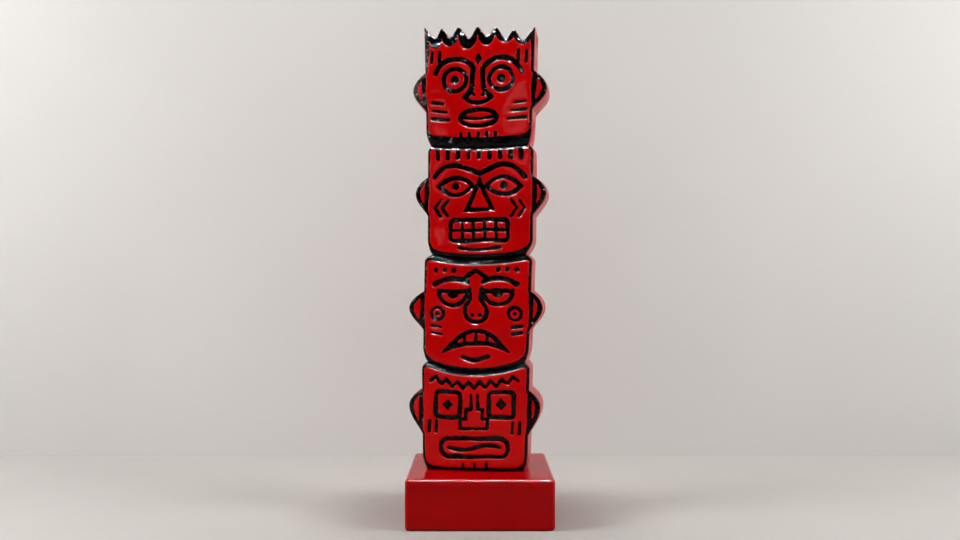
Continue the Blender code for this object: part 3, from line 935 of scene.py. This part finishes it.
first_wall = len(front[0]) + len(back[0])
count = len(edge_ring)
wall_rings = [first_wall + count * k + np.arange(count) for k in range(len(walls))]
rings = [front[5], *wall_rings, len(front[0]) + back[5]]
bands = [np.stack([a, b, np.roll(b, -1), np.roll(a, -1)], axis=-1) for a, b in zip(rings, rings[1:])]
quads = np.concatenate(bands)
faces = front[1].tolist() + (back[1][:, ::-1] + len(front[0])).tolist() + quads.tolist()
colours = np.concatenate([paint(front), paint(back), np.full(len(quads), SHADED_SIDE_RED)])

mesh = bpy.data.meshes.new("carved_stack")
mesh.from_pydata(points.tolist(), [], faces)
mesh.polygons.foreach_set("material_index", colours.astype(np.int32))
mesh.shade_smooth()
mesh.set_sharp_from_angle(angle=SHARP_ANGLE)
stack = bpy.data.objects.new("carved_stack", mesh)
bpy.context.collection.objects.link(stack)
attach(stack, "root")
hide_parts("totem_body")
edges_of_corners = np.zeros(len(mesh.loops), np.int32)
mesh.loops.foreach_get("edge_index", edges_of_corners)
odd_edges = int((np.bincount(edges_of_corners) != 2).sum())
triangle_count = len(mesh.polygons) + len(quads)
print("the stack has", triangle_count, "triangles;", odd_edges, "edges do not join two faces")

# %% [markdown]
# ## The plinth
# A plain block with softly rounded edges. Its upright edges are rounded first, and then the rims of its top
# and underside, so that the corners blend. A weighted normal modifier keeps the flat sides looking flat.

# %% The plinth
UPRIGHT_RADIUS = 0.0095
TOP_RADIUS = 0.0075
FOOT_RADIUS = 0.007
ROUND_STEPS = 8

block = bmesh.new()
bmesh.ops.create_cube(block, size=1)
bmesh.ops.scale(block, vec=plinth_high - plinth_low, verts=block.verts)
bmesh.ops.translate(block, vec=(plinth_high + plinth_low) / 2, verts=block.verts)


def round_off(chosen, radius):
    """Round the edges whose two ends pass a test."""
    edges = [edge for edge in block.edges if chosen(edge.verts[0].co, edge.verts[1].co)]
    bmesh.ops.bevel(block, geom=edges, offset=radius, segments=ROUND_STEPS, profile=0.5, affect="EDGES")


round_off(lambda a, b: abs(a.z - b.z) > TOP_RADIUS, UPRIGHT_RADIUS)
round_off(lambda a, b: min(a.z, b.z) > plinth_high.z - TOP_RADIUS / 2, TOP_RADIUS)
round_off(lambda a, b: max(a.z, b.z) < plinth_low.z + FOOT_RADIUS / 2, FOOT_RADIUS)
plinth_mesh = bpy.data.meshes.new("lacquered_plinth")
block.to_mesh(plinth_mesh)
plinth_mesh.shade_smooth()
plinth = bpy.data.objects.new("lacquered_plinth", plinth_mesh)
bpy.context.collection.objects.link(plinth)
plinth.modifiers.new("steady", "WEIGHTED_NORMAL").keep_sharp = True
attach(plinth, "root")
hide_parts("plinth")
print("the plinth has", len(plinth_mesh.polygons), "faces")

# %% [markdown]
# ## Shader sums
# A material's graph is easier to read as sums. The class below wraps one socket of a node. Adding,
# subtracting or multiplying two of them makes a Math node, with a plain number on either side too, so that
# 1 - mask works. One method makes every other kind of node.

# %% A wrapper for sockets


class Wire:
    """A socket of a material's graph that can be added, multiplied and so on."""

    def __init__(self, tree, socket):
        self.tree = tree
        self.socket = socket

    def node(self, kind, settings, inputs, output=0):
        """Make a node, set its properties, set or link its inputs, and give one of its outputs."""
        made = self.tree.nodes.new(kind)
        for name, value in settings.items():
            setattr(made, name, value)
        for name, value in inputs.items():
            if isinstance(value, Wire):
                self.tree.links.new(value.socket, made.inputs[name])
            else:
                made.inputs[name].default_value = value
        return Wire(self.tree, made.outputs[output])

    def math(self, operation, *values):
        return self.node("ShaderNodeMath", {"operation": operation}, dict(enumerate(values)))

    def __add__(self, other):
        return self.math("ADD", self, other)

    def __sub__(self, other):
        return self.math("SUBTRACT", self, other)

    def __rsub__(self, other):
        return self.math("SUBTRACT", other, self)

    def __mul__(self, other):
        return self.math("MULTIPLY", self, other)

    __radd__ = __add__
    __rmul__ = __mul__

    def noise(self, per_metre, detail=2, roughness=0.5):
        """Soft noise between about 0.2 and 0.8 with so many lumps to the metre."""
        sizes = {"Vector": self, "Scale": per_metre, "Detail": detail, "Roughness": roughness}
        return self.node("ShaderNodeTexNoise", {}, sizes)

    def ramp(self, low, high):
        """0 under the low value, 1 over the high one."""
        inputs = {"Value": self, "From Min": low, "From Max": high}
        return self.node("ShaderNodeMapRange", {"clamp": True}, inputs)

    def between(self, first, second):
        """A mix of two colours, by this factor."""
        inputs = {0: self, 6: first, 7: second}
        return self.node("ShaderNodeMix", {"data_type": "RGBA"}, inputs, 2)

    def bump(self, height_metres, normal=None):
        inputs = {"Height": self, "Distance": height_metres}
        if normal:
            inputs["Normal"] = normal
        return self.node("ShaderNodeBump", {}, inputs)


print("operators:", [name for name in vars(Wire) if name.startswith("__") and name != "__init__"])

# %% [markdown]
# ## Red lacquer
# Poured lacquer lies in a thick clear coat over a deep red. It is hardly ever flat: a slow waviness bends
# its reflections, and a finer orange peel breaks up their edges. Its colour is a little deeper in some
# places, and hand marks dull it here and there.

# %% Red lacquer
PEEL_HEIGHT = 0.00006


def new_material(name, gloss):
    """A material, its shader, and the places on its object. gloss is how strongly it mirrors."""
    material = bpy.data.materials.new(name)
    material.use_nodes = True
    shader = material.node_tree.nodes["Principled BSDF"]
    shader.inputs["Specular IOR Level"].default_value = gloss
    place = Wire(material.node_tree, None).node("ShaderNodeTexCoord", {}, {}, "Object")
    return material, shader, place


def feed(material, shader, **inputs):
    """Link wires to the shader's sockets, whose names are written with underscores for spaces."""
    for name, value in inputs.items():
        material.node_tree.links.new(value.socket, shader.inputs[name.replace("_", " ")])


def red_lacquer(name, fresh, deep, waviness, polish, gloss):
    """Red lacquer of two reds. waviness is the height of its slow waves, polish its lowest roughness."""
    material, shader, place = new_material(name, gloss)
    colour = place.noise(9, 3).ramp(0.35, 0.7).between(fresh, deep)
    smudge = place.noise(14, 4, 0.6).ramp(0.5, 0.75)
    wave = place.noise(24, 1).bump(waviness)
    peel = place.noise(420, 2).bump(PEEL_HEIGHT, wave)
    feed(material, shader, Base_Color=colour, Roughness=polish + smudge * polish * 2, Normal=peel)
    return material


# The darker reds are painted shade: the side walls and the plinth take them instead of the front's brighter
# red.
BRIGHT_RED = (0.64, 0.0015, 0.002, 1)
DEEP_RED = (0.5, 0.001, 0.0015, 1)
SHADED_RED = (0.44, 0.001, 0.0015, 1)
DEEPER_SHADED_RED = (0.37, 0.001, 0.002, 1)
red = red_lacquer("red_lacquer", BRIGHT_RED, DEEP_RED, waviness=0.0016, polish=0.06, gloss=0.1)
# The side lacquer's reds are a step darker than the front's: painted shade on walls turned from the light.
# Its lower polish is its own.
shaded_side_red = red_lacquer("shaded_side_lacquer", DEEP_RED, SHADED_RED, waviness=0.0016, polish=0.3, gloss=0.3)
# The plinth's reds are darker still: painted shade on the low plinth, which gets less light.
shaded_plinth_red = red_lacquer("shaded_flat_lacquer", SHADED_RED, DEEPER_SHADED_RED, waviness=0.0002, polish=0.05, gloss=0.075)
print("made", red.name, shaded_side_red.name, "and", shaded_plinth_red.name)

# %% [markdown]
# ## Black lacquer
# The ground is glossy black and was brushed into the grooves, so it lies in slow waves with small lumps on
# them. Each lump mirrors the lights, and this gives the grooves their sparks of white. Here and there the
# lacquer had time to settle. There it is calm and keeps only a tenth of its lumps, so the sparks come in
# clusters.

# %% Black lacquer
PITCH_BLACK = (0.0006, 0.0005, 0.0006, 1)
WORN_BLACK = (0.002, 0.0015, 0.0018, 1)
BLACK_GLOSS = 0.13
WAVE_HEIGHT = 0.003
LUMP_HEIGHT = 0.003


def black_lacquer():
    material, shader, place = new_material("black_lacquer", BLACK_GLOSS)
    colour = place.noise(60, 2).ramp(0.3, 0.7).between(PITCH_BLACK, WORN_BLACK)
    rough = 0.03 + 0.05 * place.noise(35, 3).ramp(0.45, 0.7)
    calm = 1 - place.noise(32, 2).ramp(0.5, 0.6)
    wave = place.noise(65, 1).bump(WAVE_HEIGHT)
    lumps = (place.noise(170, 2) * (1 - 0.9 * calm)).bump(LUMP_HEIGHT, wave)
    feed(material, shader, Base_Color=colour, Roughness=rough, Normal=lumps)
    return material


black = black_lacquer()
for material in (red, black, shaded_side_red):
    mesh.materials.append(material)
plinth_mesh.materials.append(shaded_plinth_red)
print("the stack wears", [material.name for material in mesh.materials])

# %% [markdown]
# ## Floor and wall
# The floor and the wall behind are plain and pale, and each is clear from its other side, so the stack can
# be seen from behind too. A plain plane is enough for each. Two pale colours drift into each other over it,
# and a third fills its middle. On the floor this one is darker: it is painted shade round the plinth.

# %% Floor and wall
WALL_Y = 0.674
STAGE_SIZE = 12
MIDDLE_REACH = (0.1, 0.42)


def plain_surface(name, location, tilt, colours, roughness):
    """A matt plane of three colours, the last for its middle."""
    bpy.ops.mesh.primitive_plane_add(size=STAGE_SIZE, location=location, rotation=(tilt, 0, 0))
    plane = bpy.context.object
    plane.name = name
    material, shader, place = new_material(name, gloss=0)
    colour = place.noise(0.8, 3).ramp(0.3, 0.7).between(*colours[:2])
    distance = place.node("ShaderNodeVectorMath", {"operation": "LENGTH"}, {0: place}, "Value")
    feed(material, shader, Base_Color=distance.ramp(*MIDDLE_REACH).between(colours[2], colour))
    shader.inputs["Roughness"].default_value = roughness
    behind = place.node("ShaderNodeNewGeometry", {}, {}, "Backfacing")
    clear = place.node("ShaderNodeBsdfTransparent", {}, {})
    solid = Wire(place.tree, shader.outputs[0])
    one_sided = place.node("ShaderNodeMixShader", {}, {0: behind, 1: solid, 2: clear})
    place.tree.links.new(one_sided.socket, place.tree.nodes["Material Output"].inputs["Surface"])
    plane.data.materials.append(material)
    plane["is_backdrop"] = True


# The floor's third colour, the darker one, is painted shade round the plinth.
FLOOR_COLOURS_AND_SHADE = ((0.61, 0.585, 0.56, 1), (0.57, 0.545, 0.52, 1), (0.41, 0.39, 0.37, 1))
WALL_COLOURS = ((0.71, 0.69, 0.67, 1), (0.67, 0.65, 0.63, 1), (0.69, 0.67, 0.65, 1))
plain_surface("floor", (0, 0, 0), 0, FLOOR_COLOURS_AND_SHADE, roughness=0.5)
plain_surface("wall", (0, WALL_Y, STAGE_SIZE / 4), math.radians(90), WALL_COLOURS, roughness=0.8)
print("the wall stands", WALL_Y, "m behind the middle of the plinth")

# %% [markdown]
# ## Light
# A studio lights a glossy piece twice: large soft lamps give it its shade, and what shows in the gloss is
# placed by itself. A lamp can be hidden from either kind of surface, so one set of lamps only shades and
# the other is only mirrored. The narrow overhead lamp draws the thin highlights on the upper shoulders, the
# upright ones the glow of the side walls, and two dim windows lie as pale patches on the cheeks.

# %% Lights
SHADING_LAMPS = (
    ("overhead", (-0.15, -0.1, 2.5), (0, 0, 0.5), (0.9, 0.6), 5),
    ("left_softbox", (-2.5, -0.8, 1.9), (-0.6, 0.3, 0.4), (1.2, 1.2), 54),
    ("right_softbox", (2.5, -0.8, 1.9), (0.6, 0.3, 0.4), (1.2, 1.2), 49))
MIRRORED_LAMPS = (
    ("overhead_glint", (-0.1, -0.8, 2.5), (0, 0, 0.5), (1.2, 0.06), 700),
    ("left_spot", (-1.6, -0.9, 2.3), (0, 0, 0.7), (0.2, 0.2), 70),
    ("left_glint", (-2.3, -0.8, 1.2), (0, 0, 0.6), (0.12, 1.2), 34),
    ("right_glint", (2.3, -1.2, 1.2), (0, 0, 0.6), (0.12, 1.2), 30),
    ("left_window", (-2.0, -3.0, 1.15), (0, 0, 0.8), (0.28, 0.55), 1.3),
    ("right_window", (0.35, -3.0, 1.36), (0, 0, 0.8), (0.5, 0.35), 1.4))
SURROUNDINGS = (0.8, 0.79, 0.77, 1)
SURROUNDINGS_STRENGTH = 0.3


def lamp(mirrored, name, location, target, size, power):
    """An area lamp that is only mirrored in gloss, or else only shades."""
    light = bpy.data.lights.new(name, "AREA")
    light.shape = "RECTANGLE"
    light.size, light.size_y = size
    light.energy = power
    holder = bpy.data.objects.new(name, light)
    bpy.context.collection.objects.link(holder)
    holder.location = location
    holder.rotation_euler = (Vector(target) - Vector(location)).to_track_quat("-Z", "Y").to_euler()
    holder.visible_diffuse = not mirrored
    holder.visible_glossy = mirrored


for mirrored, lamps in ((False, SHADING_LAMPS), (True, MIRRORED_LAMPS)):
    for settings in lamps:
        lamp(mirrored, *settings)
world = bpy.data.worlds.new("surroundings")
bpy.context.scene.world = world
world.use_nodes = True
background = world.node_tree.nodes["Background"]
background.inputs["Color"].default_value = SURROUNDINGS
background.inputs["Strength"].default_value = SURROUNDINGS_STRENGTH
world.cycles_visibility.glossy = False
print(len(SHADING_LAMPS), "lamps shade the piece and", len(MIRRORED_LAMPS), "show in its gloss")

# %% [markdown]
# ## Sizes, and finishing
# The fine model is meant to stay within the packed one's box, and both boxes are printed.

# %% Finish
visual_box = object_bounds()
for name, corners in (("packed", cad_box), ("fine", visual_box)):
    print(name, "model:", *(tuple(round(x, 4) for x in corner) for corner in corners))
